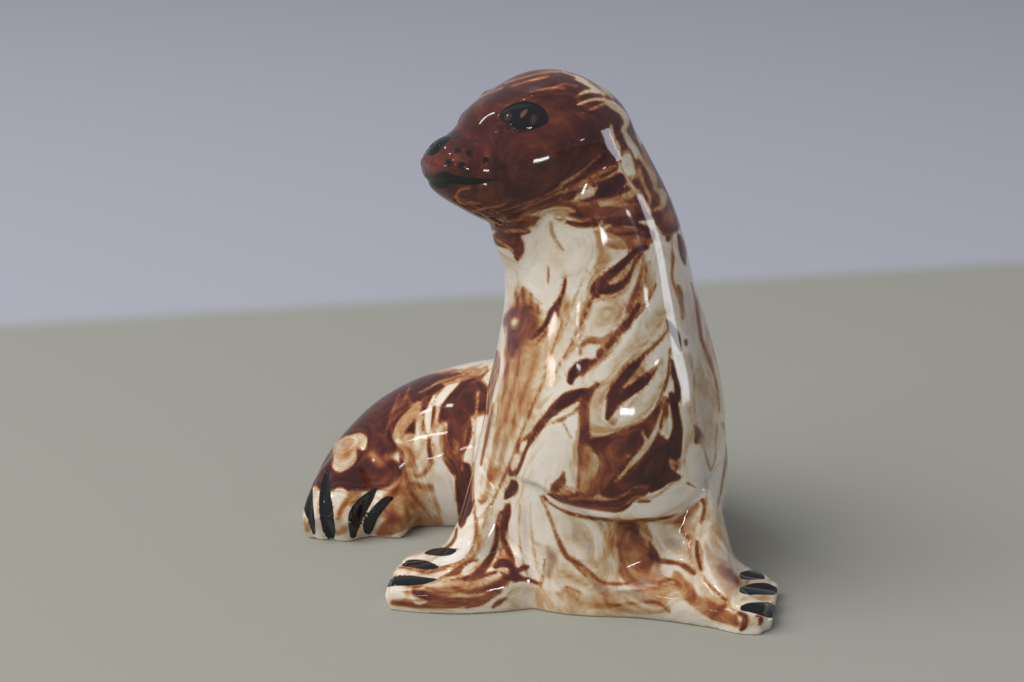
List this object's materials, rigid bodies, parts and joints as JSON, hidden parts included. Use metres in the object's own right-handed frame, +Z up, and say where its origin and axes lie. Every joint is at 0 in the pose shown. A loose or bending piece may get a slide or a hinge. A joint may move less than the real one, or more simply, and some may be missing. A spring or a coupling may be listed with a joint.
{
  "type": "ceramic seal figurine",
  "caption": "Glazed marbled ceramic figurine of a sitting seal with its head turned to one side and its hindquarters curled round, hollow, with a pour hole in its flat base.",
  "frame": {"origin": "on the flat base, under the middle of the neck and chest", "axes": "+Z up, -Y the way the chest faces, +X towards the seal's left side; the hindquarters curl round to -X"},
  "size_m": [0.1611, 0.1286, 0.1618],
  "materials": {
    "marbled_glaze": "clear gloss glaze over swirled cream, ochre and red-brown clay slips; base colour is their mean"
  },
  "bodies": {
    "root": {"seal_body": "marbled_glaze"}
  },
  "joints": []
}
